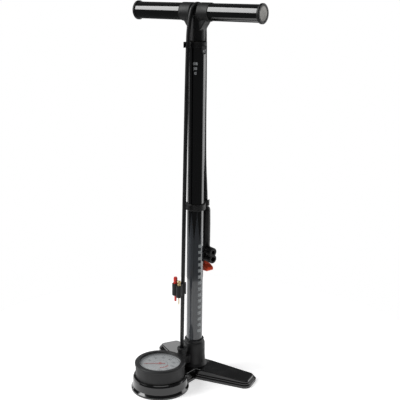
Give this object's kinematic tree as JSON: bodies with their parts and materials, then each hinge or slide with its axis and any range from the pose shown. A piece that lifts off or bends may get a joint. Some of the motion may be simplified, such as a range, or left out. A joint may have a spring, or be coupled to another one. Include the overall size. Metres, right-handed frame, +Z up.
{
  "type": "floor bike pump",
  "caption": "Tall hand pump with a T handle, slim barrel, hose looped over the handle, lever chuck and a round gauge as the front foot of its base.",
  "frame": {"origin": "on the floor under the barrel's axis", "axes": "+Z up along the barrel, the gauge towards -Y, the two rear feet spread along X and slightly towards +Y; the handle is turned 9 degrees from +X"},
  "size_m": [0.2562, 0.1949, 0.6662],
  "materials": {
    "gloss_black": "gloss",
    "satin_black": "satin",
    "painted_black": "gloss",
    "handle_black": "gloss",
    "grey_disc": "satin",
    "steel": "polished",
    "zinc": "satin",
    "brass": "satin",
    "rubber": "matte",
    "hose_rubber": "satin",
    "dial_face": "satin",
    "lens": "gloss",
    "red_plastic": "gloss",
    "nylon": "matte",
    "needle_red": "satin"
  },
  "bodies": {
    "stand": {"base": "gloss_black", "foot_pads": "rubber", "ring_pad": "rubber", "manifold": "satin_black", "manifold_screws": "zinc", "barrel_gasket": "rubber", "valve_seat": "brass", "valve_spring": "steel", "barrel": "painted_black", "mid_ring": "satin_black", "top_collar": "satin_black", "collar_screws": "zinc", "rod_guide": "nylon", "rod_wiper": "rubber", "gauge_inlet": "brass", "gauge_housing": "satin_black", "housing_screws": "zinc", "gauge_bezel": "satin_black", "gauge_lens": "lens", "gauge_dial": "dial_face", "bourdon_block": "brass", "bourdon_tube": "brass", "movement_frame": "brass", "hose_fitting": "satin_black", "hose": "hose_rubber", "adapter_holder": "satin_black", "chuck_grip": "satin_black", "chuck_stem": "steel", "chuck_body": "satin_black", "lever_pin": "steel", "chuck_gland": "rubber", "chuck_nose": "satin_black"},
    "handle": {"handle_tee": "satin_black", "handle_bolt": "zinc", "grip_left": "handle_black", "grip_right": "handle_black", "end_cap_left": "satin_black", "end_cap_right": "satin_black", "cap_disc_left": "grey_disc", "cap_disc_right": "grey_disc", "rod": "steel", "piston_head": "nylon", "piston_seal": "rubber", "piston_bolt": "zinc", "stop_sleeve": "nylon", "piston_bumper": "rubber"},
    "valve": {"valve_disc": "brass"},
    "needle": {"gauge_needle": "needle_red", "needle_spindle": "brass"},
    "sector": {"sector_gear": "brass"},
    "lever": {"chuck_lever": "red_plastic"},
    "plunger": {"chuck_plunger": "nylon"},
    "cone": {"cone_adapter": "red_plastic"},
    "ball_needle": {"ball_needle": "brass"}
  },
  "joints": [
    {"name": "handle_slide", "type": "slide", "parent": "stand", "child": "handle", "axis": [0, 0, 1], "range_m": [0, 0.48], "deforming": ["hose"]},
    {"name": "check_valve", "type": "slide", "parent": "stand", "child": "valve", "axis": [0, 0, -1], "range_m": [0, 0.002], "stiffness_N_per_m": 50, "deforming": ["valve_spring"]},
    {"name": "sector_turn", "type": "hinge", "parent": "stand", "child": "sector", "pos_m": [-0.0181, -0.0854, 0.033], "axis": [0, 0, 1], "range_deg": [0, 54], "stiffness_Nm_per_rad": 0.01},
    {"name": "needle_turn", "type": "hinge", "parent": "stand", "child": "needle", "pos_m": [0, -0.0854, 0.033], "axis": [0, 0, -1], "range_deg": [0, 270]},
    {"name": "chuck_lever_turn", "type": "hinge", "parent": "stand", "child": "lever", "pos_m": [-0.00099, 0.02664, 0.2105], "axis": [0.1392, 0.9903, 0], "range_deg": [0, 90]},
    {"name": "plunger_slide", "type": "slide", "parent": "stand", "child": "plunger", "axis": [0.9903, -0.1392, 0], "range_m": [0, 0.003]},
    {"name": "cone_adapter_lift", "type": "slide", "parent": "stand", "child": "cone", "axis": [0, 0, 1], "range_m": [0, 0.05]},
    {"name": "ball_needle_lift", "type": "slide", "parent": "stand", "child": "ball_needle", "axis": [0, 0, 1], "range_m": [0, 0.05]}
  ],
  "couplings": [
    {"joint": "needle_turn", "follows": "sector_turn", "ratio": 5},
    {"joint": "plunger_slide", "follows": "chuck_lever_turn", "m_per_rad": 0.001908}
  ]
}
